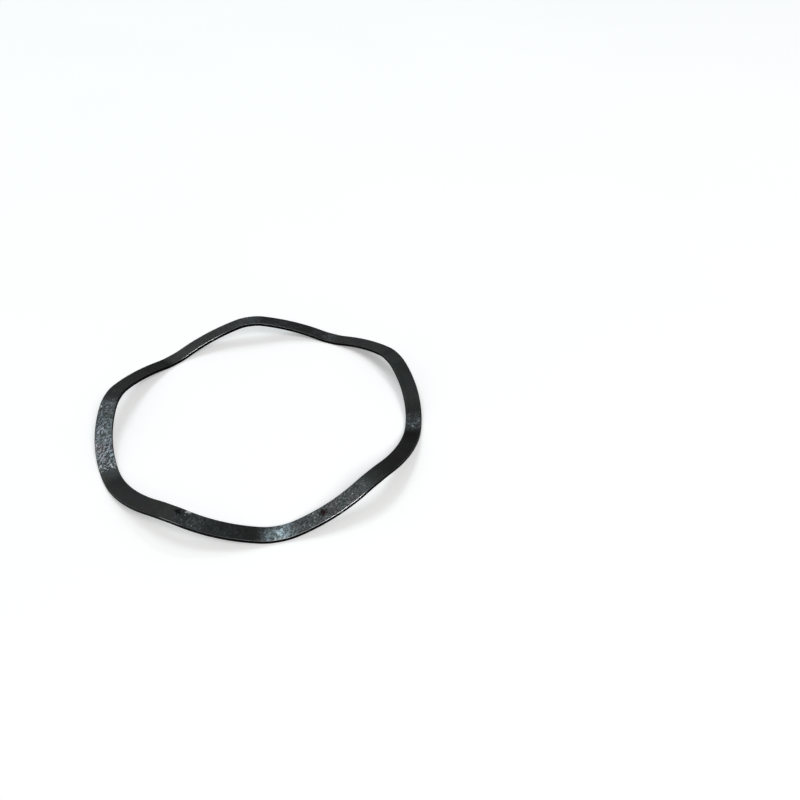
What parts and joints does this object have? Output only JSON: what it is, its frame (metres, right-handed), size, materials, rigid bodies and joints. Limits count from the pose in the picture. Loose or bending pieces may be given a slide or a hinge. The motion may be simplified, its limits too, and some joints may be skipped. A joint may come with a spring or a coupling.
{
  "type": "wave spring washer",
  "caption": "Thin blackened spring-steel ring pressed into even waves, a wave spring washer that sits in a housing bore and preloads a bearing.",
  "frame": {"origin": "on the ring's axis, in the plane of the trough lands that the free ring stands on", "axes": "+Z along the ring's axis, from the trough lands to the crest lands; +Y through one crest; +X to the right"},
  "size_m": [0.109, 0.109, 0.0076],
  "materials": {
    "blackened_spring_steel": "satin blackened and oiled spring steel, faintly mottled, with fine scratches and paler rims"
  },
  "bodies": {
    "root": {"wave_spring_washer": "blackened_spring_steel"}
  },
  "joints": []
}
